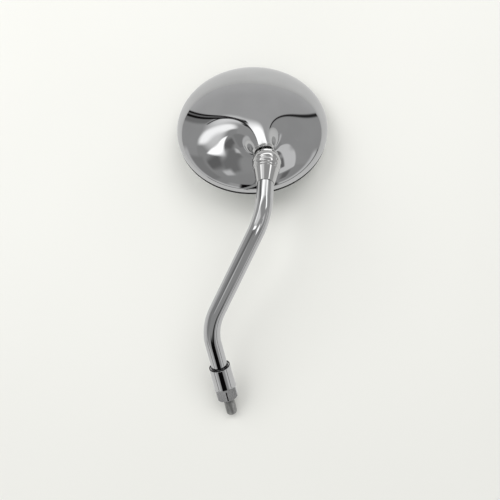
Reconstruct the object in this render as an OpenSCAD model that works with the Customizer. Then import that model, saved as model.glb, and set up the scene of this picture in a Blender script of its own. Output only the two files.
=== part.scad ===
// Round chromed motorcycle mirror on a twice bent stem, with a ball joint at
// the head and a sleeve lock nut over the threaded stud.
// Frame: origin on the stud's axis at the lock nut's lower face, +Z up along
// the stud, glass towards +Y, chromed back towards -Y.

/* [Stem] */
// Outer diameter of the stem tube
stem_d = 12; // [10:0.5:14]
// Wall of the stem tube
stem_wall = 1.5; // [1:0.1:2.2]
// From the lock nut's lower face to the corner of the lower bend
lower_leg = 58; // [52:1:90]
// Between the corners of the two bends
middle_leg = 88; // [60:1:160]
// From the corner of the upper bend to the centre of the ball
upper_leg = 44.5; // [42:0.5:90]
// Radius of both bends, at the middle of the tube
bend_r = 38; // [26:1:42]
// Angle of the lower bend
lower_bend = 39.5; // [20:0.5:42]
// Angle of the upper bend
upper_bend = 40; // [20:0.5:42]
// Way in which the lower bend leans, from +X towards +Y
lean_way = 4.5; // [-30:0.5:30]
// Turn of the upper bend's plane from the lower bend's plane
bend_roll = 102.5; // [60:0.5:130]

/* [Stud] */
// Diameter of the thread
thread_d = 8; // [6:1:8]
// Length of thread that stands out below the lock nut
stud_out = 15; // [13:1:30]
// Chamfer at the stud's tip
tip_chamfer = 1.1; // [0.5:0.1:1.5]
// Length of the plug that is pressed into the tube
plug_len = 13; // [8:1:18]
// How much thinner the stud is above its exposed stretch, on the radius
thread_relief = 0.67; // [0.6:0.01:0.7]

/* [Lock nut] */
// Height of the lock nut
nut_h = 26; // [24:1:34]
// Width across the flats
nut_af = 15; // [14.6:0.1:16]
// Diameter of the sleeve at its mouth
nut_top_d = 15.4; // [14.6:0.1:15.6]
// Diameter of the sleeve just above the flats
nut_low_d = 16.2; // [16:0.1:17]
// Height of the milled flats at the middle of each flat
flat_h = 9.4; // [8:0.1:11]
// Radius of the cutter that mills the flats
cutter_r = 9.5; // [9:0.5:12]
// Turn of the hexagon about the stud
hex_turn = 28; // [0:1:59]
// Height of the nut's threaded floor
nut_floor = 9; // [7:0.5:10]
// How far the nut can be screwed up before its floor meets the stem
nut_travel = 10; // [6:0.5:11]
// Height of the rubber ring in the sleeve's mouth
ring_h = 0.8; // [0.7:0.1:1.6]

/* [Ball joint] */
// Diameter of the ball
ball_d = 11.2; // [10.6:0.1:11.4]
// Diameter of the ball's shank
shank_d = 5.6; // [5:0.1:5.8]
// Thickness of the nylon liner round the ball
liner_t = 0.5; // [0.4:0.1:0.6]
// Outer diameter of the seats
seat_d = 14.2; // [14.1:0.1:14.8]
// Diameter of the socket's round bulge
socket_d = 21.2; // [20.8:0.2:23]
// From the ball's centre down to the collar's lower end
collar_len = 18; // [17.4:0.2:22]
// Diameter of the collar's lower end
collar_end_d = 12.9; // [12.8:0.1:14]
// Diameter of the ring nut's flange
ring_nut_d = 17.4; // [17.2:0.1:18]
// From the ball's centre up to the top of the ring nut
ring_nut_top = 6.4; // [6.2:0.1:6.6]

/* [Head] */
// Outer diameter of the head
head_d = 122; // [116:1:140]
// From the ball's centre to the middle of the head, along the glass
ball_offset = 53.9; // [50:0.5:62]
// Height of the neck's axis over the plane of the rim
neck_h = 30.7; // [28:0.1:36]
// From the ball's centre to the near face of the neck ferrule
neck_gap = 9.4; // [9.2:0.1:12]
// Thickness of the neck ferrule
ferrule_t = 2.2; // [1.6:0.1:3]
// Diameter of the neck ferrule
ferrule_d = 16.8; // [16.6:0.1:18]
// Diameter of the neck where the ferrule closes it
neck_d = 16.6; // [16:0.1:17.2]
// Thickness of the shell's sheet
shell_wall = 0.9; // [0.7:0.1:1.2]
// Height of the shell's edge over the plane of the rim
edge_h = 2; // [1.6:0.1:2.6]
// Lean of the head's back from upright, about X
head_lean = 47.6; // [30:0.1:60]
// Turn of the head in its own plane
head_turn = -3.7; // [-15:0.1:15]

/* [Glass] */
// Thickness of the mirror glass
glass_t = 2.5; // [2:0.1:3]
// Thickness of the felt pad behind the glass
pad_t = 1.2; // [0.8:0.1:1.6]
// Thickness of the backing plate
plate_t = 1; // [0.8:0.1:1.4]
// Thickness of the gasket's lip under the glass
lip_t = 1; // [0.7:0.1:1.4]
// How far the gasket's lip covers the glass
lip_in = 2; // [1.5:0.1:3]
// Wall of the gasket outside the glass
gasket_wall = 1.9; // [1.5:0.1:2.4]

/* [Fits] */
// Radial clearance of a running fit
run_gap = 0.06; // [0.04:0.01:0.08]
// Clearance between pieces that must not touch
free_gap = 0.3; // [0.2:0.05:0.5]

/* [Hidden] */
$fn = 96;

// Stem
stem_r = stem_d / 2;
tube_r = stem_r - stem_wall;
plug_r = tube_r - 0.03;
lower_cut = bend_r * tan(lower_bend / 2);
upper_cut = bend_r * tan(upper_bend / 2);
stem_foot = nut_floor + nut_travel + free_gap;
collar_grip = 7;
// The bends are this much fatter than the straights, and are lapped by them,
// so that no two of their surfaces only touch
lap = 0.02;

// Lock nut
thread_r = thread_d / 2;
thread_core_r = thread_r - thread_relief;
nut_bore_r = thread_core_r + run_gap;
sleeve_r = stem_r + free_gap;
ring_bore_r = stem_r + 0.1;
corner_r = nut_af / sqrt(3) - 0.05;
shoulder_h = flat_h + 0.4;
corner_h = flat_h - 0.8;
nut_chamfer = 0.8;

// Ball joint, measured along the collar's axis from the ball's centre
ball_r = ball_d / 2;
shank_r = shank_d / 2;
liner_in = ball_r + run_gap;
liner_out = liner_in + liner_t;
seat_in = liner_out + run_gap;
seat_r = seat_d / 2;
chamber_r = seat_r + run_gap;
socket_r = socket_d / 2;
socket_top = 4.6;
socket_waist = -3;
chamber_low = -9;
tube_end = collar_grip - collar_len;
collar_bore_r = stem_r + 0.03;
seat_split = 0.25;
washer_t = 0.5;
washer_rise = 0.55;
washer_step = washer_t + washer_rise + 0.02;
seat_low = chamber_low + 2 * washer_step + 0.05;
seat_top = 3.4;
ring_nut_r = ring_nut_d / 2;
ring_nut_in = 5.45;
ring_nut_mouth = 5.9;
ring_thread_low = seat_top + 0.05;

// Head, in its own frame: rim plane at z = 0, neck along -y
head_r = head_d / 2;
neck_r = neck_d / 2;
neck_end = neck_gap + ferrule_t - ball_offset;
insert_len = 8.5;
insert_r = neck_r - shell_wall - free_gap;
washer_r = 6.2;
stud_washer_t = 1.2;
stud_nut_af = 10;
stud_nut_h = 5;
shank_end = neck_gap + ferrule_t + insert_len + stud_washer_t + stud_nut_h + 1.5;
shank_bore_r = shank_r + 0.05;
glass_low = lip_t;
pad_low = glass_low + glass_t;
plate_low = pad_low + pad_t;
plate_top = plate_low + plate_t;
gasket_r = head_r - 0.6;
gasket_in_shell = head_r - shell_wall - 2 * free_gap;
glass_r = gasket_in_shell - gasket_wall;

// Turning about Z and about Y, as matrices
function about_z(a) = [[cos(a), -sin(a), 0], [sin(a), cos(a), 0], [0, 0, 1]];
function about_y(a) = [[cos(a), 0, sin(a)], [0, 1, 0], [-sin(a), 0, cos(a)]];
up = [0, 0, 1];
middle_turn = about_z(lean_way) * about_y(lower_bend);
upper_turn = middle_turn * about_z(bend_roll) * about_y(upper_bend);
ball_pos = up * lower_leg + middle_turn * up * middle_leg + upper_turn * up * upper_leg;

// Places children where a bend of angle a ends, with +Z along the tube
module past_bend(a) {
    translate([bend_r * (1 - cos(a)), 0, bend_r * sin(a)]) rotate([0, a, 0]) children();
}

// The tube's wall in section, w fatter on each side
module pipe_ring(w = 0) {
    difference() {
        circle(r = stem_r + w);
        circle(r = tube_r - w);
    }
}

// A straight stretch of the tube along +Z that laps its neighbours a little
module pipe(len) {
    translate([0, 0, -lap]) linear_extrude(height = len + 2 * lap) pipe_ring();
}

// A bent stretch of the tube that starts at the origin along +Z and leans to +X
module pipe_bend(a) {
    translate([bend_r, 0, 0]) rotate([90, 0, 0]) rotate([0, 0, 180 - a])
        rotate_extrude(angle = a) translate([bend_r, 0]) pipe_ring(lap);
}

// Places children at the start of the lower bend
module at_lower_bend() {
    translate([0, 0, lower_leg - lower_cut]) rotate([0, 0, lean_way]) children();
}

// Places children at the start of the upper bend
module at_upper_bend() {
    at_lower_bend() past_bend(lower_bend)
        translate([0, 0, middle_leg - lower_cut - upper_cut]) rotate([0, 0, bend_roll]) children();
}

// Places children at the ball's centre, with +Z along the collar towards the head
module at_ball() {
    at_upper_bend() past_bend(upper_bend)
        translate([0, 0, upper_leg - upper_cut]) children();
}

// Places children in the head's frame
module at_head() {
    translate(ball_pos) rotate([head_lean, 0, 0]) rotate([0, 0, head_turn])
        translate([0, ball_offset, -neck_h]) children();
}

// Places children at the ball's centre, with +Z along the neck towards the head
module at_neck() {
    at_head() translate([0, -ball_offset, neck_h]) rotate([-90, 0, 0]) children();
}

module stem_tube() {
    color("silver") {
        translate([0, 0, stem_foot + lap]) pipe(lower_leg - lower_cut - stem_foot - lap);
        at_lower_bend() pipe_bend(lower_bend);
        at_lower_bend() past_bend(lower_bend) pipe(middle_leg - lower_cut - upper_cut);
        at_upper_bend() pipe_bend(upper_bend);
        at_upper_bend() past_bend(upper_bend) pipe(upper_leg - upper_cut + tube_end - lap);
    }
}

module threaded_stud() {
    color("dimgray") rotate_extrude() polygon([
        [0, -stud_out],
        [thread_r - tip_chamfer, -stud_out],
        [thread_r, -stud_out + tip_chamfer],
        [thread_r, -0.2],
        [thread_core_r, -0.2],
        [thread_core_r, stem_foot],
        [plug_r, stem_foot],
        [plug_r, stem_foot + plug_len - 1],
        [plug_r - 1, stem_foot + plug_len],
        [0, stem_foot + plug_len]
    ]);
}

module lock_nut() {
    color("gainsboro") difference() {
        rotate_extrude() polygon([
            [nut_bore_r + nut_chamfer, 0],
            [corner_r - nut_chamfer, 0],
            [corner_r, nut_chamfer],
            [corner_r, corner_h],
            [nut_low_d / 2, shoulder_h],
            [nut_top_d / 2, nut_h],
            [sleeve_r, nut_h],
            [sleeve_r, nut_floor],
            [nut_bore_r, nut_floor],
            [nut_bore_r, nut_chamfer]
        ]);
        for (side = [0 : 5]) rotate([0, 0, hex_turn + 30 + 60 * side])
            translate([nut_af / 2, 0, flat_h - cutter_r]) rotate([0, 90, 0])
                cylinder(r = cutter_r, h = corner_r);
    }
}

module nut_ring() {
    color("black") translate([0, 0, nut_h]) rotate_extrude() difference() {
        translate([ring_bore_r, 0]) square([nut_top_d / 2 - ring_bore_r, ring_h]);
        translate([nut_top_d / 2, ring_h]) rotate([0, 0, 45]) square(ring_h * 0.6, center = true);
    }
}

// Outline of the collar from its lower end to its mouth
module collar_outline() {
    intersection() {
        union() {
            circle(r = socket_r, $fn = 180);
            polygon([
                [0, -collar_len],
                [collar_end_d / 2, -collar_len],
                [socket_r * cos(asin(-socket_waist / socket_r)), socket_waist],
                [0, socket_waist]
            ]);
        }
        translate([0, -collar_len]) square([socket_r, collar_len + socket_top]);
        union() {
            translate([0, socket_waist]) square([socket_r, socket_top - socket_waist]);
            polygon([
                [0, -collar_len],
                [collar_end_d / 2, -collar_len],
                [socket_r * cos(asin(-socket_waist / socket_r)), socket_waist],
                [0, socket_waist]
            ]);
        }
    }
}

module socket_collar() {
    color("silver") at_ball() rotate_extrude() difference() {
        collar_outline();
        translate([0, -collar_len - 1]) square([collar_bore_r, collar_len + 1 + tube_end]);
        translate([0, tube_end - 0.01]) square([tube_r, chamber_low - tube_end + 0.02]);
        translate([0, chamber_low]) square([chamber_r, socket_top - chamber_low]);
    }
}

// One conical spring washer, its inner edge raised
module cone_washer() {
    rotate_extrude() polygon([
        [3.2, washer_rise],
        [chamber_r - 0.3, 0],
        [chamber_r - 0.3, washer_t],
        [3.2, washer_rise + washer_t]
    ]);
}

module spring_washers() {
    color("darkgray") at_ball() for (i = [0 : 1])
        translate([0, 0, chamber_low + i * washer_step]) cone_washer();
}

module ring_nut() {
    color("silver") at_ball() rotate_extrude() difference() {
        union() {
            translate([0, ring_thread_low]) square([chamber_r, socket_top - ring_thread_low]);
            translate([0, socket_top]) square([ring_nut_r, ring_nut_top - socket_top]);
        }
        polygon([
            [0, ring_thread_low - 1],
            [ring_nut_in, ring_thread_low - 1],
            [ring_nut_in, ring_thread_low],
            [ring_nut_mouth, ring_nut_top],
            [ring_nut_mouth, ring_nut_top + 1],
            [0, ring_nut_top + 1]
        ]);
        translate([ring_nut_r, ring_nut_top]) rotate([0, 0, 45]) square(0.8, center = true);
    }
}

module lower_seat() {
    color("dimgray") at_ball() rotate_extrude() difference() {
        translate([0, seat_low]) square([seat_r, -seat_split - seat_low]);
        circle(r = seat_in, $fn = 180);
    }
}

module upper_seat() {
    color("dimgray") at_ball() rotate_extrude() difference() {
        translate([0, seat_split]) square([seat_r, seat_top - seat_split]);
        circle(r = seat_in, $fn = 180);
    }
}

// Half angle, from the head's side, at which the liner opens round the shank
liner_open = 52;

module ball_liner() {
    color("white") at_ball() rotate_extrude() difference() {
        circle(r = liner_out, $fn = 180);
        circle(r = liner_in, $fn = 180);
        translate([-ball_d, -ball_d]) square([ball_d, 2 * ball_d]);
        translate([0, liner_in * cos(liner_open)]) square(ball_d);
        translate([0, -ball_d]) square([2, ball_d]);
    }
}

module ball_stud() {
    color("lightgray") at_neck() rotate_extrude() intersection() {
        union() {
            circle(r = ball_r, $fn = 180);
            square([shank_r, shank_end]);
        }
        translate([0, -ball_r]) square([ball_r, ball_r + shank_end]);
    }
}

module neck_ferrule() {
    color("silver") at_neck() rotate_extrude() translate([0, neck_gap]) difference() {
        translate([shank_bore_r, 0]) square([ferrule_d / 2 - shank_bore_r, ferrule_t]);
        translate([ferrule_d / 2, 0]) rotate([0, 0, 45]) square(0.9, center = true);
        translate([ferrule_d / 2 + 0.25, ferrule_t / 2]) circle(r = 0.5);
    }
}

module neck_insert() {
    color("gray") at_neck() rotate_extrude() translate([shank_bore_r, neck_gap + ferrule_t])
        square([insert_r - shank_bore_r, insert_len]);
}

module stud_washer() {
    color("darkgray") at_neck() rotate_extrude()
        translate([shank_bore_r, neck_gap + ferrule_t + insert_len])
            square([washer_r - shank_bore_r, stud_washer_t]);
}

module stud_nut() {
    color("darkgray") at_neck()
        translate([0, 0, neck_gap + ferrule_t + insert_len + stud_washer_t]) difference() {
            cylinder(r = stud_nut_af / sqrt(3), h = stud_nut_h, $fn = 6);
            translate([0, 0, -1]) cylinder(r = shank_bore_r, h = stud_nut_h + 2);
        }
}

// Point at t on a cubic curve through p[0] and p[3], drawn by p[1] and p[2]
function curve(p, t) =
    pow(1 - t, 3) * p[0] + 3 * t * pow(1 - t, 2) * p[1] + 3 * t * t * (1 - t) * p[2] + pow(t, 3) * p[3];

// The shell is a row of circles whose diameters are chords between two curves
// in its plane of symmetry: the back runs from the far edge over the dome to
// the neck's upper side, the belly from the near edge to its lower side.
// Both are given as [y, z], moved inwards by w for the inner surface.
dome_foot = 4;
function back_curve(w) = [
    [head_r - w, dome_foot],
    [head_r - w, dome_foot + 13],
    [head_r * 0.16, neck_h + neck_r - w],
    [neck_end, neck_h + neck_r - w]
];
function belly_curve(w) = [
    [w - head_r, dome_foot],
    [w - head_r, dome_foot + 11],
    [neck_end + 8.3 + w, neck_h - neck_r + w],
    [neck_end, neck_h - neck_r + w]
];
// Ring of n points on the circle whose diameter runs from point a to point b
function chord_ring(a, b, n) = [
    for (i = [0 : n - 1])
        let (mid = (a + b) / 2, half = (b - a) / 2, turn = 360 * i / n)
        [norm(half) * sin(turn), mid[0] + half[0] * cos(turn), mid[1] + half[1] * cos(turn)]
];
// Rings from the shell's edge to the neck, w inside the outer surface
function shell_rings(w, steps, n) = concat(
    [chord_ring([w - head_r, edge_h], [head_r - w, edge_h], n)],
    [for (k = [0 : steps])
        chord_ring(curve(belly_curve(w), k / steps), curve(back_curve(w), k / steps), n)]
);
shell_sides = 72;
shell_steps = 34;
lining_steps = 22;

module head_shell() {
    outer = shell_rings(0, shell_steps, shell_sides);
    inner = shell_rings(shell_wall, lining_steps, shell_sides);
    rings = concat(outer, [for (k = [len(inner) - 1 : -1 : 0]) inner[k]]);
    count = len(rings);
    color("silver") at_head() polyhedron(
        points = [for (ring = rings) each ring],
        faces = [
            for (k = [0 : count - 1], i = [0 : shell_sides - 1])
                let (j = (i + 1) % shell_sides, m = (k + 1) % count)
                for (face = [
                    [k * shell_sides + i, m * shell_sides + i, k * shell_sides + j],
                    [k * shell_sides + j, m * shell_sides + i, m * shell_sides + j]
                ]) face
        ]
    );
}

module rim_gasket() {
    color("black") at_head() rotate_extrude($fn = 180) difference() {
        union() {
            translate([0, 0]) square([gasket_r, edge_h]);
            translate([0, 0]) square([gasket_in_shell, plate_top]);
        }
        translate([0, -1]) square([glass_r - lip_in, plate_top + 2]);
        translate([0, glass_low]) square([glass_r, plate_top]);
        translate([gasket_r, 0]) rotate([0, 0, 45]) square(0.8, center = true);
    }
}

// A disc of the head at height low
module head_disc(r, low, t) {
    at_head() translate([0, 0, low]) cylinder(r = r, h = t, $fn = 180);
}

module mirror_glass() {
    color("lightblue") head_disc(glass_r, glass_low, glass_t);
}

module felt_pad() {
    color("tan") head_disc(glass_r - 1.5, pad_low, pad_t);
}

module backing_plate() {
    color("gray") head_disc(glass_r - free_gap, plate_low, plate_t);
}

stem_tube();
threaded_stud();
socket_collar();
spring_washers();
ring_nut();
lower_seat();
upper_seat();
ball_liner();
ball_stud();
neck_ferrule();
neck_insert();
stud_washer();
stud_nut();
head_shell();
rim_gasket();
mirror_glass();
felt_pad();
backing_plate();
lock_nut();
nut_ring();
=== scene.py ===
"""Studio look of a round chromed motorcycle mirror, laid on a pale table with its glass down."""

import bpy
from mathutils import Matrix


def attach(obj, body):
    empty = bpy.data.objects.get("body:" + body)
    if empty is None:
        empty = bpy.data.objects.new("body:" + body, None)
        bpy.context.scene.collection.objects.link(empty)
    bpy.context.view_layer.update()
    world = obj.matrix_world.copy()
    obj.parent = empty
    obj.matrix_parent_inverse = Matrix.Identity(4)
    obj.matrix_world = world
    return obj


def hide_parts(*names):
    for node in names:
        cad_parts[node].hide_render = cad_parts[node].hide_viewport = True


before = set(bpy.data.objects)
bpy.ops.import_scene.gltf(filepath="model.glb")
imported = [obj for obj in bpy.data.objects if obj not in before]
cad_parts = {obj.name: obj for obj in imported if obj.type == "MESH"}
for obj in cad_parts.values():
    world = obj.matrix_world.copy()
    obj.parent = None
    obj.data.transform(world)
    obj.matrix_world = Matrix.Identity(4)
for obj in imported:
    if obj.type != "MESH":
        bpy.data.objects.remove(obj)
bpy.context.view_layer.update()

import math

import bmesh
import bpy
from mathutils import Matrix, Vector

MM = 0.001

# Stem, in millimetres and degrees
STEM_R = 6.0
STEM_WALL = 1.5
TUBE_BORE_R = STEM_R - STEM_WALL
LOWER_LEG, MIDDLE_LEG, UPPER_LEG = 58.0, 88.0, 44.5
BEND_R = 38.0
LOWER_BEND, UPPER_BEND = 39.5, 40.0
LEAN_WAY, BEND_ROLL = 4.5, 102.5
STEM_FOOT = 19.3
COLLAR_GRIP = 7.0

# Stud and lock nut
THREAD_R = 4.0
THREAD_PITCH = 1.25
THREAD_DEPTH = 0.62
STUD_OUT = 15.0
PLUG_LEN = 13.0
PLUG_CHAMFER = 0.8
TIP_CHAMFER = 1.1
RUNOUT = 2.6                 # from the tip to the thread's full depth
FLANK, CREST = 1.25, 0.125   # slope of the thread's flanks, and what flattens its crest
NUT_H, NUT_AF = 26.0, 15.0
NUT_TOP_R, NUT_LOW_R = 7.7, 8.1
FLAT_H, CUTTER_R = 9.4, 9.5
NUT_EDGE = 0.8
NUT_FLOOR = 9.0
CORNER_R = NUT_AF / math.sqrt(3) - 0.24
HEX_TURN = 28.0
NUT_BORE_R = 4.03
SLEEVE_R = 6.3
RING_H = 0.55
RING_BORE_R = 7.0

# Ball joint, from the ball's centre
BALL_R, SHANK_R = 5.6, 2.8
SOCKET_R, SOCKET_TOP, SOCKET_WAIST = 10.6, 4.6, -3.0
COLLAR_LEN, COLLAR_END_R, COLLAR_BORE_R = 18.0, 6.45, STEM_R + 0.03
CONE_TOP, CONE_R = -7.2, COLLAR_END_R + 2.68
BEADS = ((-6.9, -5.3, 0.3), (-5.2, -1.8, 0.5), (-1.65, SOCKET_TOP, 0.5))
CHAMBER_R, CHAMBER_LOW = 7.16, -9.0
RING_NUT_R, RING_NUT_TOP, RING_THREAD_LOW = 8.7, 6.4, 3.45
RING_NUT_IN, RING_NUT_MOUTH = 5.45, 5.9

# Head, in its own frame
HEAD_R = 61.0
BALL_OFFSET, NECK_H, NECK_R = 53.9, 30.7, 8.3
NECK_GAP, FERRULE_T, FERRULE_R = 9.4, 2.2, 8.4
FERRULE_TAPER_R, FERRULE_TAPER_H = 0.8, 1.5
SHELL_WALL, EDGE_H, DOME_FOOT = 0.9, 2.9, 4.0
HEAD_LEAN, HEAD_TURN = 47.6, -3.7
SHANK_END, SHANK_CHAMFER = 28.0, 0.5
NECK_END = NECK_GAP + FERRULE_T - BALL_OFFSET
GLASS_LOW, GLASS_T = 1.0, 2.5
GLASS_R = 57.6
GASKET_R, GASKET_INNER_R = 60.85, 59.5
LIP_IN, PLATE_TOP = 2.0, 5.7
SLACK = 0.02      # round the glass and the stud's plug

# Detail of the meshes
SHELL_ROWS, SHELL_SIDES, EDGE_SHARE = 190, 241, 0.02
RIM_SIDES = 240
TUBE_SIDES, BEND_STEPS = 128, 48
THREAD_ROWS, THREAD_SIDES = 340, 73
BEAD_STEPS = 12
ROUND_STEPS = 5
SUPPORT = 0.07    # width of the flat strip that each rounded corner keeps on either side
TINY = 1e-6


def turn(axis, degrees):
    return Matrix.Rotation(math.radians(degrees), 4, axis)


def shift(x, y, z):
    return Matrix.Translation((x, y, z))


def polar(radius, degrees):
    return radius * math.cos(math.radians(degrees)), radius * math.sin(math.radians(degrees))


TO_STUD = Matrix.Identity(4)
AT_LOWER = shift(0, 0, LOWER_LEG) @ turn("Z", LEAN_WAY) @ turn("Y", LOWER_BEND)
AT_UPPER = AT_LOWER @ shift(0, 0, MIDDLE_LEG) @ turn("Z", BEND_ROLL) @ turn("Y", UPPER_BEND)
TO_BALL = AT_UPPER @ shift(0, 0, UPPER_LEG)
BALL = TO_BALL.translation
TO_HEAD = (Matrix.Translation(BALL) @ turn("X", HEAD_LEAN) @ turn("Z", HEAD_TURN)
           @ shift(0, BALL_OFFSET, -NECK_H))
TO_NECK = TO_HEAD @ shift(0, -BALL_OFFSET, NECK_H) @ turn("X", -90)


# Nodes


class Value:
    """A socket that takes part in sums as a number does."""

    def __init__(self, maker, socket):
        self.maker, self.socket = maker, socket

    def math(self, operation, first, second=0.0):
        return self.maker.value("ShaderNodeMath", {"operation": operation},
                                {0: first, 1: second})

    def __add__(self, other):
        return self.math("ADD", self, other)

    __radd__ = __add__

    def __sub__(self, other):
        return self.math("SUBTRACT", self, other)

    def __rsub__(self, other):
        return self.math("SUBTRACT", other, self)

    def __mul__(self, other):
        return self.math("MULTIPLY", self, other)

    __rmul__ = __mul__

    def __truediv__(self, other):
        return self.math("DIVIDE", self, other)

    def __pow__(self, other):
        return self.math("POWER", self, other)

    def sine(self):
        return self.math("SINE", self)

    def cosine(self):
        return self.math("COSINE", self)

    def arcsine(self):
        return self.math("ARCSINE", self)

    def way_from(self, other):
        """The angle of the direction whose parts are this and the other, 0 along the other."""
        return self.math("ARCTAN2", self, other)

    def root(self):
        return self.math("SQRT", self)

    def fraction(self):
        return self.math("FRACT", self)

    def size(self):
        return self.math("ABSOLUTE", self)

    def least(self, other):
        return self.math("MINIMUM", self, other)

    def most(self, other):
        return self.math("MAXIMUM", self, other)

    def above(self, other):
        return self.math("GREATER_THAN", self, other)

    def step(self, low, high):
        """0 below low, 1 above high, smooth between them."""
        return self.maker.value("ShaderNodeMapRange", {"interpolation_type": "SMOOTHSTEP"},
                                {"Value": self, "From Min": low, "From Max": high})


class Maker:
    """Adds nodes to one tree. Settings are a node's own options, values go to its inputs."""

    def __init__(self, tree):
        self.tree = tree
        tree.nodes.clear()

    def node(self, kind, settings=None, values=None):
        made = self.tree.nodes.new(kind)
        for key, setting in (settings or {}).items():
            setattr(made, key, setting)
        for key, value in (values or {}).items():
            if isinstance(value, Value):
                self.tree.links.new(value.socket, made.inputs[key])
            else:
                made.inputs[key].default_value = value
        return made

    def value(self, kind, settings=None, values=None, out=0):
        return Value(self, self.node(kind, settings, values).outputs[out])

    def parts(self, vector):
        made = self.node("ShaderNodeSeparateXYZ", None, {0: vector})
        return [Value(self, made.outputs[i]) for i in range(3)]

    def vector(self, x, y, z):
        return self.value("ShaderNodeCombineXYZ", None, {0: x, 1: y, 2: z})

    def noise(self, place, scale, detail, roughness=0.5):
        return self.value("ShaderNodeTexNoise", None,
                          {"Vector": place, "Scale": scale, "Detail": detail,
                           "Roughness": roughness})


# The mix node keeps a pair of inputs and an output for each kind of data; these are for colours
MIX_LOW, MIX_HIGH, MIX_RESULT = 6, 7, 2


def colour_blend(maker, amount, low, high):
    """One colour going over into another by an amount from 0 to 1."""
    return maker.value("ShaderNodeMix", {"data_type": "RGBA"},
                       {0: amount, MIX_LOW: low, MIX_HIGH: high}, MIX_RESULT)


def grey(level):
    return (level, level, level, 1.0)


def scaled(colour, factor):
    """A colour made darker or lighter, its alpha kept at 1."""
    return tuple(min(1.0, part * factor) for part in colour[:3]) + (1.0,)


def shade(name, build):
    """A material whose surface is what build returns for a maker of its tree."""
    material = bpy.data.materials.new(name)
    material.use_nodes = True
    maker = Maker(material.node_tree)
    maker.node("ShaderNodeOutputMaterial", None, {"Surface": build(maker)})
    return material


def place_of(maker):
    return maker.value("ShaderNodeTexCoord", None, None, "Object")


TURNING_LINES = 1500.0   # about so many to a metre


def plated(name, colour, low, high, peel=0.0):
    """Bright plating: faint clouds of wear in the gloss, and a fine peel where it is asked for."""
    def build(maker):
        place = place_of(maker)
        cloud = maker.noise(place, 45.0, 4.0)
        fleck = maker.noise(place, 900.0, 2.0)
        tone = colour_blend(maker, cloud.step(0.35, 0.7), colour, scaled(colour, 0.95))
        gloss = low + (high - low) * (cloud.step(0.4, 0.65) * 0.7 + fleck.step(0.55, 0.7) * 0.3)
        values = {"Base Color": tone, "Metallic": 1.0, "Roughness": gloss}
        if peel:
            values["Normal"] = maker.value(
                "ShaderNodeBump", None, {"Strength": peel, "Distance": 0.0002, "Height": fleck})
        return maker.value("ShaderNodeBsdfPrincipled", None, values)
    return shade(name, build)


def machined(name, colour, low, high, axis=(0, 0, 1)):
    """Plain steel with fine turning lines across the given axis."""
    def build(maker):
        place = place_of(maker)
        along = maker.value("ShaderNodeVectorMath", {"operation": "DOT_PRODUCT"},
                            {0: place, 1: axis}, "Value")
        lines = maker.noise(maker.vector(0.0, 0.0, along), TURNING_LINES, 3.0, 0.7)
        cloud = maker.noise(place, 160.0, 4.0, 0.6)
        tone = colour_blend(maker, cloud.step(0.35, 0.7), colour, scaled(colour, 0.72))
        bump = maker.value("ShaderNodeBump", None,
                           {"Strength": 0.25, "Distance": 0.00005, "Height": lines})
        return maker.value("ShaderNodeBsdfPrincipled", None,
                           {"Base Color": tone, "Metallic": 1.0,
                            "Roughness": low + (high - low) * lines, "Normal": bump})
    return shade(name, build)


def moulded(name, colour, low, high, scale, depth=0.0001):
    """Rubber, nylon and felt: a grained surface with clouds in its colour."""
    def build(maker):
        place = place_of(maker)
        grain = maker.noise(place, scale, 5.0, 0.65)
        cloud = maker.noise(place, scale / 8, 3.0)
        tone = colour_blend(maker, cloud.step(0.3, 0.7), colour, scaled(colour, 1.35))
        bump = maker.value("ShaderNodeBump", None,
                           {"Strength": 0.5, "Distance": depth, "Height": grain})
        return maker.value("ShaderNodeBsdfPrincipled", None,
                           {"Base Color": tone, "Roughness": low + (high - low) * grain,
                            "Specular IOR Level": 0.2, "Normal": bump})
    return shade(name, build)


def silvered(name):
    """Mirror glass: silver behind a clear front, with a trace of dust."""
    def build(maker):
        place = place_of(maker)
        dust = maker.noise(place, 70.0, 5.0, 0.7)
        speck = maker.noise(place, 2600.0, 2.0)
        tone = colour_blend(maker, dust.step(0.5, 0.8), (0.83, 0.86, 0.86, 1.0),
                            (0.79, 0.82, 0.82, 1.0))
        gloss = 0.006 + 0.03 * dust.step(0.5, 0.85) + 0.05 * speck.step(0.66, 0.72)
        return maker.value("ShaderNodeBsdfPrincipled", None,
                           {"Base Color": tone, "Metallic": 1.0, "Roughness": gloss,
                            "Coat Weight": 0.4, "Coat Roughness": 0.01})
    return shade(name, build)


NECK_AXIS = tuple(TO_NECK.to_3x3() @ Vector((0, 0, 1)))
COLLAR_AXIS = tuple(TO_BALL.to_3x3() @ Vector((0, 0, 1)))
shell_chrome = plated("shell_chrome", (0.52, 0.522, 0.525, 1.0), 0.02, 0.045)
stem_chrome = plated("stem_chrome", (0.53, 0.532, 0.535, 1.0), 0.03, 0.06)
collar_chrome = plated("collar_chrome", (0.58, 0.58, 0.575, 1.0), 0.03, 0.06)
nut_chrome = plated("nut_chrome", (0.53, 0.532, 0.535, 1.0), 0.04, 0.07)
satin_flats = plated("satin_flats", (0.36, 0.36, 0.36, 1.0), 0.12, 0.22, 0.2)
stud_zinc = machined("stud_zinc", (0.34, 0.34, 0.33, 1.0), 0.24, 0.38)
seat_steel = machined("seat_steel", (0.50, 0.50, 0.51, 1.0), 0.3, 0.45, COLLAR_AXIS)
spring_steel = machined("spring_steel", (0.26, 0.27, 0.31, 1.0), 0.3, 0.4, COLLAR_AXIS)
bright_steel = machined("bright_steel", (0.66, 0.66, 0.67, 1.0), 0.12, 0.22, NECK_AXIS)
zinc_steel = machined("zinc_steel", (0.60, 0.61, 0.60, 1.0), 0.3, 0.42, NECK_AXIS)
black_rubber = moulded("black_rubber", (0.006, 0.006, 0.007, 1.0), 0.65, 0.9, 500.0)
white_nylon = moulded("white_nylon", (0.78, 0.77, 0.72, 1.0), 0.4, 0.55, 400.0, 0.00005)
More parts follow.
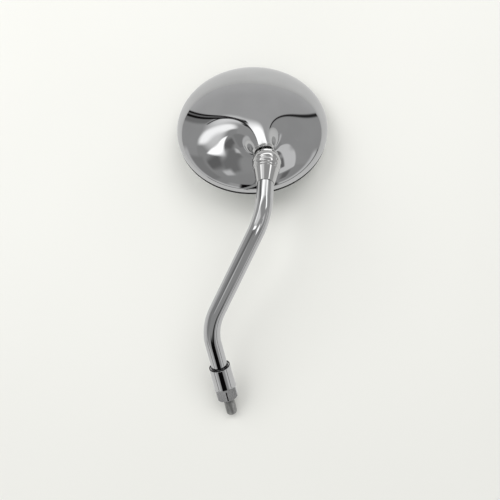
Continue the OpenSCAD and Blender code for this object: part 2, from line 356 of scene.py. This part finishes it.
grey_felt = moulded("grey_felt", (0.2, 0.2, 0.21, 1.0), 0.85, 1.0, 2500.0, 0.0003)
mirror_silver = silvered("mirror_silver")


# Meshes


def finish_mesh(name, mesh, materials, body, slot, *nodes, crease=35.0):
    """Puts a finished mesh in the scene as one piece of the object."""
    mesh.name = name
    mesh.materials.clear()
    for material in materials:
        mesh.materials.append(material)
    mesh.shade_smooth()
    mesh.set_sharp_from_angle(angle=math.radians(crease))
    piece = bpy.data.objects.new(name, mesh)
    bpy.context.scene.collection.objects.link(piece)
    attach(piece, body)
    if nodes:
        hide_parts(*nodes)


def soften(outline, radius):
    """Rounds the corners of a closed outline. A corner's third number is its own radius.

    No corner takes more than 0.4 of the edges that it lies between.
    """
    points = []
    count = len(outline)
    for i, corner in enumerate(outline):
        own = corner[2] if len(corner) > 2 else radius
        here = Vector(corner[:2])
        before = Vector(outline[i - 1][:2]) - here
        after = Vector(outline[(i + 1) % count][:2]) - here
        if own <= 0 or before.length < TINY or after.length < TINY:
            points.append(here)
            continue
        cut = min(own, 0.4 * before.length, 0.4 * after.length)
        start, end = here + before.normalized() * cut, here + after.normalized() * cut
        extra = min(SUPPORT, 0.3 * cut)
        points.append(start + before.normalized() * extra)
        for k in range(ROUND_STEPS + 1):
            s = k / ROUND_STEPS
            points.append(start * (1 - s) ** 2 + here * 2 * s * (1 - s) + end * s * s)
        points.append(end + after.normalized() * extra)
    return points


def written(shape, mesh):
    """Turns a shape's faces outwards and writes it into a mesh."""
    bmesh.ops.recalc_face_normals(shape, faces=shape.faces)
    shape.to_mesh(mesh)
    shape.free()
    return mesh


def evaluated(mesh, name, kind, inputs=None, **settings):
    """The mesh after one modifier. Inputs are a geometry tree's sizes by socket identifier."""
    holder = bpy.data.objects.new(name, mesh)
    bpy.context.scene.collection.objects.link(holder)
    modifier = holder.modifiers.new(name, kind)
    for key, setting in settings.items():
        setattr(modifier, key, setting)
    for key, size in (inputs or {}).items():
        modifier[key] = size
    bpy.context.view_layer.update()
    result = bpy.data.meshes.new_from_object(
        holder.evaluated_get(bpy.context.evaluated_depsgraph_get()))
    bpy.data.objects.remove(holder)
    return result


def transformed(mesh, place):
    """Puts a mesh that is in millimetres in its place, in metres."""
    mesh.transform(Matrix.Scale(MM, 4) @ place)
    return mesh


def turned(outline, place, sides=160):
    """A mesh turned from a closed outline of [radius, height] points, in millimetres."""
    shape = bmesh.new()
    rings = []
    for radius, height in outline:
        if radius < TINY:
            rings.append([shape.verts.new((0, 0, height))])
        else:
            rings.append([
                shape.verts.new((radius * math.cos(math.tau * i / sides),
                                 radius * math.sin(math.tau * i / sides), height))
                for i in range(sides)])
    for near, far in zip(rings, rings[1:] + rings[:1]):
        if len(near) == 1 and len(far) == 1:
            continue
        for i in range(sides):
            j = (i + 1) % sides
            face = [near[i % len(near)], near[j % len(near)], far[j % len(far)], far[i % len(far)]]
            face = [v for k, v in enumerate(face) if v not in face[:k]]
            shape.faces.new(face)
    return transformed(written(shape, bpy.data.meshes.new("turned")), place)


def grown(name, build, sizes):
    """Runs a geometry tree and returns its mesh. build gets a maker and the named sizes."""
    tree = bpy.data.node_groups.new(name, "GeometryNodeTree")
    maker = Maker(tree)
    tree.interface.new_socket("Geometry", in_out="OUTPUT", socket_type="NodeSocketGeometry")
    keys = {}
    for key, size in sizes.items():
        kind = "NodeSocketInt" if isinstance(size, int) else "NodeSocketFloat"
        keys[key] = tree.interface.new_socket(key, in_out="INPUT", socket_type=kind).identifier
    entry = maker.node("NodeGroupInput")
    named = {key: Value(maker, entry.outputs[key]) for key in sizes}
    joined = maker.value("GeometryNodeRealizeInstances", None, {"Geometry": build(maker, named)})
    coated = maker.value("GeometryNodeSetMaterial", None, {"Geometry": joined})
    maker.node("NodeGroupOutput", None, {0: coated})
    return evaluated(bpy.data.meshes.new(name), name, "NODES",
                     {keys[key]: size for key, size in sizes.items()}, node_group=tree)


def merged(mesh, distance=1e-4):
    """Closes the seams of a mesh that is still in millimetres, and turns its faces outwards."""
    shape = bmesh.new()
    shape.from_mesh(mesh)
    bmesh.ops.remove_doubles(shape, verts=shape.verts, dist=distance)
    return written(shape, mesh)


def walled(mesh, thickness):
    """Gives a sheet, in millimetres, a wall that grows inwards."""
    return evaluated(mesh, "wall", "SOLIDIFY", thickness=thickness, offset=-1.0)


def cubic(points, t):
    """A number on a cubic curve through the first and last of four points."""
    return ((1 - t) ** 3 * points[0] + 3 * t * (1 - t) ** 2 * points[1]
            + 3 * t ** 2 * (1 - t) * points[2] + t ** 3 * points[3])


# Two curves in the head's plane of symmetry, from the rim to the neck's end
BACK = ((HEAD_R, DOME_FOOT), (HEAD_R, DOME_FOOT + 13),
        (HEAD_R * 0.16, NECK_H + NECK_R), (NECK_END, NECK_H + NECK_R))
BELLY = ((-HEAD_R, DOME_FOOT), (-HEAD_R, DOME_FOOT + 11),
         (NECK_END + 8.3, NECK_H - NECK_R), (NECK_END, NECK_H - NECK_R))


def sheet(maker, sizes, bend):
    """A grid whose points go where bend puts them, from how far along and round they are."""
    grid = maker.value("GeometryNodeMeshGrid", None, {
        "Size X": 1.0, "Size Y": 1.0, "Vertices X": sizes["Rows"], "Vertices Y": sizes["Sides"]})
    x, y, _ = maker.parts(maker.value("GeometryNodeInputPosition"))
    return maker.value("GeometryNodeSetPosition", None,
                       {"Geometry": grid, "Position": bend(x + 0.5, y + 0.5)})


def shell_sheet(maker, sizes):
    """Each row is a circle on a chord between back and belly. The first rows make the edge."""
    edge = sizes["Edge"]

    def bend(share, round_share):
        along = (share - edge) / (1.0 - edge)
        t = along.most(0.0)
        drop = sizes["Edge height"] * (along * -1.0).most(0.0) * (1.0 - edge) / edge
        back_y, back_z = (cubic([p[i] for p in BACK], t) for i in range(2))
        belly_y, belly_z = (cubic([p[i] for p in BELLY], t) for i in range(2))
        half_y, half_z = (back_y - belly_y) * 0.5, (back_z - belly_z) * 0.5
        radius = (half_y ** 2 + half_z ** 2).root()
        angle = round_share * math.tau
        return maker.vector(radius * angle.sine(),
                            (back_y + belly_y) * 0.5 + half_y * angle.cosine(),
                            (back_z + belly_z) * 0.5 + half_z * angle.cosine() - drop)
    return sheet(maker, sizes, bend)


def stem_sweep(maker, sizes):
    """A circle swept along three straights whose corners are rounded."""
    points = [Vector((0, 0, STEM_FOOT)), AT_LOWER.translation, AT_UPPER.translation,
              TO_BALL @ Vector((0, 0, COLLAR_GRIP - COLLAR_LEN))]
    line = maker.value("GeometryNodeMeshLine", {"mode": "OFFSET"}, {"Count": len(points)})
    index = maker.value("GeometryNodeInputIndex")
    place = maker.vector(*[
        sum(point[axis] * (1.0 - (index - float(k)).size().least(1.0))
            for k, point in enumerate(points))
        for axis in range(3)])
    moved = maker.value("GeometryNodeSetPosition", None, {"Geometry": line, "Position": place})
    path = maker.value("GeometryNodeMeshToCurve", None, {"Mesh": moved})
    rounded = maker.value("GeometryNodeFilletCurve", {"mode": "POLY"}, {
        "Curve": path, "Radius": sizes["Bend radius"], "Count": sizes["Bend steps"]})
    ring = maker.value("GeometryNodeCurvePrimitiveCircle", None,
                       {"Resolution": sizes["Sides"], "Radius": sizes["Radius"]})
    return maker.value("GeometryNodeCurveToMesh", None, {"Curve": rounded, "Profile Curve": ring})


def thread_sheet(maker, sizes):
    """The radius rises and falls along a helix, and the tip is chamfered."""
    def bend(share, round_share):
        height = share * sizes["Length"]
        angle = round_share * math.tau
        phase = (height / sizes["Pitch"] - round_share).fraction()
        ridge = 1.0 - ((phase - 0.5).size() * 2.0 * FLANK - CREST).least(1.0).most(0.0)
        runout = (height / RUNOUT).least(1.0)
        radius = (sizes["Radius"] - sizes["Depth"] * (1.0 - ridge) * runout).least(
            sizes["Radius"] - sizes["Chamfer"] + height)
        return maker.vector(radius * angle.cosine(), radius * angle.sine(), height)
    return sheet(maker, sizes, bend)


def capped(mesh):
    """Closes the open ends of a mesh with flat faces."""
    shape = bmesh.new()
    shape.from_mesh(mesh)
    edges = [edge for edge in shape.edges if edge.is_boundary]
    bmesh.ops.holes_fill(shape, edges=edges, sides=0)
    return written(shape, mesh)


# Head

shell = merged(grown("shell", shell_sheet, {
    "Rows": SHELL_ROWS, "Sides": SHELL_SIDES, "Edge": EDGE_SHARE,
    "Edge height": DOME_FOOT - EDGE_H}), 1e-3)
shell = walled(shell, SHELL_WALL)
finish_mesh("chromed_shell", transformed(shell, TO_HEAD), [shell_chrome], "head",
            "chrome_shell", "head_shell", crease=50)

GASKET_TOP, LIP_R = EDGE_H - 0.03, GLASS_R - LIP_IN
SEAT_R, SEAT_LOW = GLASS_R + SLACK, GLASS_LOW - SLACK
gasket = soften([
    [LIP_R, 0], [GASKET_R, 0, 0.5], [GASKET_R, GASKET_TOP, 0], [GASKET_INNER_R, GASKET_TOP, 0],
    [GASKET_INNER_R, PLATE_TOP], [SEAT_R, PLATE_TOP], [SEAT_R, SEAT_LOW, 0.1],
    [LIP_R, SEAT_LOW, 0.1]], 0.35)
finish_mesh("glass_gasket", turned(gasket, TO_HEAD, RIM_SIDES), [black_rubber], "head",
            "black_rubber", "rim_gasket")

GLASS_EDGE_R, GLASS_TOP = GLASS_R - SLACK, GLASS_LOW + GLASS_T
glass = soften([[0, GLASS_LOW, 0], [GLASS_EDGE_R, GLASS_LOW], [GLASS_EDGE_R, GLASS_TOP],
                [0, GLASS_TOP, 0]], 0.3)
finish_mesh("silvered_glass", turned(glass, TO_HEAD, RIM_SIDES), [mirror_silver], "head",
            "mirror", "mirror_glass")

FERRULE_BORE_R, FERRULE_TOP = SHANK_R + 0.05, NECK_GAP + FERRULE_T
ferrule = soften([
    [FERRULE_BORE_R, NECK_GAP], [FERRULE_R - FERRULE_TAPER_R, NECK_GAP, 0.3],
    [FERRULE_R, NECK_GAP + FERRULE_TAPER_H, 0.3], [FERRULE_R, FERRULE_TOP, 0.25],
    [FERRULE_BORE_R, FERRULE_TOP]], 0.15)
finish_mesh("neck_ferrule_ring", turned(ferrule, TO_NECK), [collar_chrome], "head",
            "chrome_collar", "neck_ferrule")

BALL_TOP = 60     # degrees above the ball's middle, where the shank starts
ball = [[0, -BALL_R]]
ball += [[*polar(BALL_R, degrees)] for degrees in range(-84, BALL_TOP, 6)]
ball += [[SHANK_R, polar(BALL_R, BALL_TOP)[1] + 0.1], [SHANK_R, SHANK_END - SHANK_CHAMFER],
         [SHANK_R - SHANK_CHAMFER, SHANK_END], [0, SHANK_END]]
finish_mesh("ball_and_shank", turned(ball, TO_NECK, 96), [bright_steel], "head",
            "bright_steel", "ball_stud")

# Stem with its collar

stem = walled(merged(grown("stem", stem_sweep, {
    "Radius": STEM_R, "Bend radius": BEND_R, "Bend steps": BEND_STEPS,
    "Sides": TUBE_SIDES})), STEM_WALL)
finish_mesh("bent_tube", transformed(stem, TO_STUD), [stem_chrome], "stem",
            "chrome_stem", "stem_tube", crease=50)


def collar_radius(height):
    """The collar's radius at a height: the ball's socket, and a cone below its waist."""
    if height > SOCKET_WAIST:
        return math.sqrt(SOCKET_R ** 2 - height ** 2)
    waist_r = math.sqrt(SOCKET_R ** 2 - SOCKET_WAIST ** 2)
    share = (height + COLLAR_LEN) / (SOCKET_WAIST + COLLAR_LEN)
    return COLLAR_END_R + (waist_r - COLLAR_END_R) * share


def bead(low, high, groove):
    """Points of a rounded bead round the collar, its ends lower by the groove's depth."""
    points = []
    for k in range(BEAD_STEPS + 1):
        share = k / BEAD_STEPS
        height = low + (high - low) * share
        points.append([collar_radius(height) - groove * (2 * share - 1) ** 4, height, 0])
    return points


collar = [[COLLAR_BORE_R, -COLLAR_LEN], [COLLAR_END_R, -COLLAR_LEN, 0.3], [CONE_R, CONE_TOP, 0.5]]
for low, high, groove in BEADS:
    collar += bead(low, high, groove)
collar += [[CHAMBER_R, SOCKET_TOP, 0.1], [CHAMBER_R, CHAMBER_LOW, 0],
           [TUBE_BORE_R, CHAMBER_LOW, 0], [TUBE_BORE_R, COLLAR_GRIP - COLLAR_LEN, 0],
           [COLLAR_BORE_R, COLLAR_GRIP - COLLAR_LEN, 0]]
finish_mesh("ball_collar", turned(soften(collar, 0.2), TO_BALL, 200), [collar_chrome], "stem",
            "chrome_collar", "socket_collar")

ring_nut = soften([
    [RING_NUT_IN, RING_THREAD_LOW, 0.1], [CHAMBER_R, RING_THREAD_LOW, 0.1],
    [CHAMBER_R, SOCKET_TOP, 0], [RING_NUT_R, SOCKET_TOP, 0.2], [RING_NUT_R, RING_NUT_TOP, 0.55],
    [RING_NUT_MOUTH, RING_NUT_TOP, 0.25]], 0.2)
finish_mesh("joint_ring_nut", turned(ring_nut, TO_BALL), [collar_chrome], "stem",
            "chrome_collar", "ring_nut")

# Stud

thread = merged(grown("thread", thread_sheet, {
    "Radius": THREAD_R, "Depth": THREAD_DEPTH, "Pitch": THREAD_PITCH, "Chamfer": TIP_CHAMFER,
    "Length": STUD_OUT + STEM_FOOT - 0.05, "Rows": THREAD_ROWS, "Sides": THREAD_SIDES}))
thread = capped(thread)
PLUG_R, PLUG_TOP = TUBE_BORE_R - SLACK, STEM_FOOT + PLUG_LEN
plug = turned(soften([[0, STEM_FOOT, 0], [PLUG_R, STEM_FOOT], [PLUG_R, PLUG_TOP, PLUG_CHAMFER],
                      [0, PLUG_TOP, 0]], 0.1), TO_STUD, 64)
stud = bmesh.new()
stud.from_mesh(transformed(thread, shift(0, 0, -STUD_OUT)))
stud.from_mesh(plug)
stud_mesh = bpy.data.meshes.new("stud")
stud.to_mesh(stud_mesh)
stud.free()
finish_mesh("threaded_foot", stud_mesh, [stud_zinc], "stem", "stud_steel", "threaded_stud",
            crease=40)

# Lock nut

sleeve = turned(soften([
    [NUT_BORE_R + NUT_EDGE, 0, 0.1], [CORNER_R - NUT_EDGE, 0, 0.2], [CORNER_R, NUT_EDGE, 0.3],
    [CORNER_R, FLAT_H - NUT_EDGE, 0.3], [NUT_LOW_R, FLAT_H + 0.4, 0.25],
    [NUT_TOP_R, NUT_H, 0.25], [SLEEVE_R, NUT_H, 0.15], [SLEEVE_R, NUT_FLOOR, 0],
    [NUT_BORE_R, NUT_FLOOR, 0], [NUT_BORE_R, NUT_EDGE, 0.1]], 0.2), TO_STUD, 192)


def milled(body, cutters):
    """Takes the cutters' shapes out of a body."""
    holder = bpy.data.objects.new("cutters", cutters)
    bpy.context.scene.collection.objects.link(holder)
    result = evaluated(body, "mill", "BOOLEAN", operation="DIFFERENCE", solver="EXACT",
                       object=holder)
    bpy.data.objects.remove(holder)
    return result


def on_flat(face):
    """Whether a face of the nut lies on one of its six flats."""
    way, middle = Vector(face.normal[:2]), Vector(face.center[:2])
    depth = middle.dot(way.normalized()) - NUT_AF / 2 * MM
    return (way.length > 0.999 and abs(depth) < 2e-5 and face.center.z < FLAT_H * MM
            and middle.length < (CORNER_R - 0.02) * MM)


cutters = bmesh.new()
for side in range(6):
    place = (turn("Z", HEX_TURN + 30 + 60 * side)
             @ shift(NUT_AF / 2, 0, FLAT_H - CUTTER_R) @ turn("Y", 90)
             @ shift(0, 0, CORNER_R / 2))
    bmesh.ops.create_cone(cutters, cap_ends=True, segments=160, radius1=CUTTER_R,
                          radius2=CUTTER_R, depth=CORNER_R, matrix=Matrix.Scale(MM, 4) @ place)
cutter_mesh = bpy.data.meshes.new("cutters")
cutters.to_mesh(cutter_mesh)
cutters.free()
nut = milled(sleeve, cutter_mesh)
finish_mesh("sleeve_lock_nut", nut, [nut_chrome, satin_flats], "nut", "chrome_nut", "lock_nut",
            crease=25)
for face in nut.polygons:
    if on_flat(face):
        face.material_index = 1

RING_LOW, RING_TOP = NUT_H + 0.01, NUT_H + RING_H
ring = soften([[RING_BORE_R, RING_LOW], [NUT_TOP_R, RING_LOW], [NUT_TOP_R, RING_TOP, 0.5],
               [RING_BORE_R, RING_TOP]], 0.15)
finish_mesh("sleeve_rubber_ring", turned(ring, TO_STUD), [black_rubber], "ring",
            "black_rubber", "nut_ring")

# Hidden pieces keep their own solids

HIDDEN = {
    "spring_washers": spring_steel, "lower_seat": seat_steel, "upper_seat": seat_steel,
    "ball_liner": white_nylon, "neck_insert": zinc_steel, "stud_washer": zinc_steel,
    "stud_nut": zinc_steel, "felt_pad": grey_felt, "backing_plate": zinc_steel}
for node, material in HIDDEN.items():
    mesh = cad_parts[node].data
    mesh.materials.clear()
    mesh.materials.append(material)

# Camera, placed by the photograph

CAMERA_AT = Vector((10.68, -330.45, 217.77))
CAMERA_LOOK = Vector((0.087, 0.9441, -0.318))
CAMERA_UP = Vector((0.2555, 0.2873, 0.9231))
FOCAL_PIXELS = 510.0
PICTURE_PIXELS = 500.0
SENSOR_MM = 36.0
camera_data = bpy.data.cameras.new("camera")
camera_data.sensor_width = SENSOR_MM
camera_data.lens = SENSOR_MM * FOCAL_PIXELS / PICTURE_PIXELS
camera_data.clip_start, camera_data.clip_end = 0.01, 20.0
camera = bpy.data.objects.new("camera", camera_data)
back = -CAMERA_LOOK.normalized()
right = CAMERA_UP.cross(back).normalized()
upward = back.cross(right)
camera.matrix_world = (Matrix.Translation(CAMERA_AT * MM)
                       @ Matrix((right, upward, back)).transposed().to_4x4())
bpy.context.scene.collection.objects.link(camera)
bpy.context.scene.camera = camera

# Table, touching the head's far rim and the stud's tip

REST_ANGLE = 64.5
RIM_TOUCH_H = 0.2


def upright(way, slope):
    """The direction square to two others that points up in the picture."""
    up = way.cross(slope).normalized()
    return -up if up.y > 0 else up


rim = TO_HEAD @ Vector((*polar(HEAD_R, REST_ANGLE), RIM_TOUCH_H))
rim_way = TO_HEAD.to_3x3() @ Vector((*polar(1.0, REST_ANGLE + 90), 0))
tip = Vector((0, 0, -STUD_OUT))
TABLE_UP = upright(rim_way, tip - rim)
tip_edge = tip - (TABLE_UP - Vector((0, 0, TABLE_UP.z))).normalized() * (THREAD_R - TIP_CHAMFER)
TABLE_UP = upright(rim_way, tip_edge - rim)
TABLE_FAR = (back * -1 - TABLE_UP * (back * -1).dot(TABLE_UP)).normalized()
TABLE_RIGHT = TABLE_FAR.cross(TABLE_UP).normalized()
TO_TABLE = Matrix((TABLE_RIGHT, TABLE_FAR, TABLE_UP)).transposed().to_4x4()
TO_TABLE.translation = rim

TABLE_TONES = (0.84, 0.84, 0.80, 1.0), (0.82, 0.82, 0.78, 1.0)
NEAR_LEVEL, FAR_LEVEL = 0.87, 0.66     # the table in the chrome, near the object and far from it
NEAR_M, FAR_M = 0.1, 0.9
MIRRORED_SHARE = 0.75


def table_shade(maker):
    """Pale matt table, seen from above only, and brighter to what mirrors it."""
    rays = maker.node("ShaderNodeLightPath")
    under = Value(maker, maker.node("ShaderNodeNewGeometry").outputs["Backfacing"])
    mirrored = Value(maker, rays.outputs["Is Glossy Ray"])
    place = place_of(maker)
    cloud = maker.noise(place, 3.0, 2.0)
    tone = colour_blend(maker, cloud.step(0.3, 0.7), *TABLE_TONES)
    matt = maker.value("ShaderNodeBsdfDiffuse", None, {"Color": tone})
    spread = maker.value("ShaderNodeVectorMath", {"operation": "LENGTH"}, {0: place}, "Value")
    mirror_tone = colour_blend(maker, spread.step(NEAR_M, FAR_M), grey(NEAR_LEVEL), grey(FAR_LEVEL))
    plain = maker.value("ShaderNodeEmission", None, {"Color": mirror_tone})
    top = maker.value("ShaderNodeMixShader", None,
                      {0: mirrored * MIRRORED_SHARE, 1: matt, 2: plain})
    clear = maker.value("ShaderNodeBsdfTransparent")
    return maker.value("ShaderNodeMixShader", None, {0: under, 1: top, 2: clear})


TABLE_HALF = 1600.0
table_mesh = bpy.data.meshes.new("table")
table_mesh.from_pydata([tuple((TO_TABLE @ Vector((x * TABLE_HALF, y * TABLE_HALF, 0))) * MM)
                        for x, y in ((-1, -1), (1, -1), (1, 1), (-1, 1))],
                       [], [(0, 1, 2, 3)])
table_mesh.materials.append(shade("pale_table", table_shade))
table = bpy.data.objects.new("table", table_mesh)
bpy.context.scene.collection.objects.link(table)


# Lamps and the room

LAMP_TARGET = (0, -60, 20)


def lamp(name, right_mm, far_mm, up_mm, size_mm, watts):
    """A square soft lamp at a place over the table, aimed at the object."""
    data = bpy.data.lights.new(name, "AREA")
    data.shape, data.size, data.energy = "SQUARE", size_mm * MM, watts
    light = bpy.data.objects.new(name, data)
    at = TO_TABLE @ Vector((right_mm, far_mm, up_mm))
    aim = TO_TABLE @ Vector(LAMP_TARGET)
    light.matrix_world = (Matrix.Translation(at * MM)
                          @ (aim - at).to_track_quat("-Z", "Y").to_matrix().to_4x4())
    light.visible_glossy = False
    bpy.context.scene.collection.objects.link(light)


lamp("key", -680, 560, 1040, 1000, 7.2)
lamp("fill", 560, 260, 1200, 1000, 6.6)

# The room as the chrome mirrors it, painted in order. A wall is (from, to, low, high, blur, level)
# in degrees round the table's upright, 0 being straight away from the camera, and above the table.
# A ceiling piece is (left, right, near, far, blur, level, lean) on a level one unit up, where lean
# pushes the sides left as they run away.
ROOM = (
    (-200, 200, -12, 95, 3, 0.42),
    (-27, 67, -12, 95, 2, 0.585),
    (-27, 67, -12, 4, 9, 0.68),
    (-66, -27, -12, 33, 2, 0.47),
    (-112, -66, -12, 40, 4, 0.34),
    (-150, -128, -12, 34, 4, 0.55),
    (70, 122, -12, 60, 3, 0.47),
    (-114, -57, -12, 13, 4, 0.76),
    (104, 200, -12, 15, 5, 0.84),
    (-200, -112, -12, 15, 5, 0.84),
    (102, 200, -4, 3, 2, 0.14),
    (-200, -102, -4, 3, 2, 0.14),
    (168, 218, 5, 36, 3, 0.004),
    (-215, -144, 5, 36, 3, 0.004),
    (-0.40, 0.80, -0.30, 1.00, 0.10, 0.45, 0.0),
    (-0.50, 0.12, 0.12, 1.10, 0.10, 1.05, 0.54),
    (-0.75, 2.10, 0.98, 1.62, 0.28, 2.2, 0.0),
    (0.86, 1.32, 0.00, 1.20, 0.06, 2.0, 0.0),
    (-1.02, -0.52, -0.02, 0.32, 0.10, 0.20, 0.0),
    (-0.55, -0.24, -0.22, 0.10, 0.06, 0.27, 0.0),
    (-0.335, -0.19, 0.02, 0.46, 0.035, 2.2, 1.14),
    (-0.68, -0.44, -0.30, -0.12, 0.06, 0.85, 0.0),
    (0.45, 1.00, -0.72, -0.20, 0.04, 0.92, 0.0),
    (0.48, 0.60, -0.48, -0.26, 0.03, 0.22, 0.0),
    (-0.02, 0.30, -0.62, -0.30, 0.05, 2.0, 0.0),
    (0.55, 0.85, -1.50, -0.80, 0.08, 0.22, 0.0),
    (-31, -25, -3, 29, 1.5, 0.27),
    (-50, -37, 34, 43, 3, 1.7),
    (-27.0, -22.6, -3, 31, 0.6, 0.26),
    (-27.0, -25.1, -3, 31, 0.5, 0.005),
    (-24.2, -22.8, -3, 31, 0.4, 0.015),
    (-32, -15, 29.6, 30.6, 0.5, 0.02),
    (66.5, 69.5, 0, 22, 1.0, 0.03),
)
ROOM_LEVEL = 0.4      # where nothing is painted
PLAIN_LEVEL, PLAIN_STRENGTH = 0.8, 0.75   # the room as all but the chrome sees it
LOWEST_UP = 0.05      # how far up a direction has to point to meet the ceiling
LEAST_UP = 0.02       # keeps the division by it finite

world = bpy.data.worlds.new("room")
bpy.context.scene.world = world
world.use_nodes = True
sky = Maker(world.node_tree)
rays = sky.node("ShaderNodeLightPath")
way = sky.value("ShaderNodeTexCoord", None, None, "Generated")


def dot(vector):
    return sky.value("ShaderNodeVectorMath", {"operation": "DOT_PRODUCT"},
                     {0: way, 1: tuple(vector)}, "Value")


def inside(value, low, high, blur):
    return value.step(low - blur, low + blur) * (1.0 - value.step(high - blur, high + blur))


def mixed(amount, below, above):
    return below + (above - below) * amount


up_part, far_part, right_part = dot(TABLE_UP), dot(TABLE_FAR), dot(TABLE_RIGHT)
DEGREES = 180 / math.pi
height = up_part.arcsine() * DEGREES
round_way = right_part.way_from(far_part) * DEGREES
level = ROOM_LEVEL
over = up_part.most(LEAST_UP)
across, away = right_part / over, far_part / over
for first, last, low, high, blur, tone, *lean in ROOM:
    if lean:
        mask = (inside(across + away * lean[0], first, last, blur)
                * inside(away, low, high, blur) * up_part.above(LOWEST_UP))
    else:
        mask = inside(round_way, first, last, blur) * inside(height, low, high, blur)
    level = mixed(mask, level, tone)

seen = Value(sky, rays.outputs["Is Glossy Ray"])
mirrored_room = sky.value("ShaderNodeBackground", None, {"Color": sky.vector(level, level, level)})
plain_room = sky.value("ShaderNodeBackground", None,
                       {"Color": grey(PLAIN_LEVEL), "Strength": PLAIN_STRENGTH})
both = sky.value("ShaderNodeMixShader", None, {0: seen, 1: plain_room, 2: mirrored_room})
sky.node("ShaderNodeOutputWorld", None, {"Surface": both})

bpy.context.scene.view_settings.view_transform = "Standard"
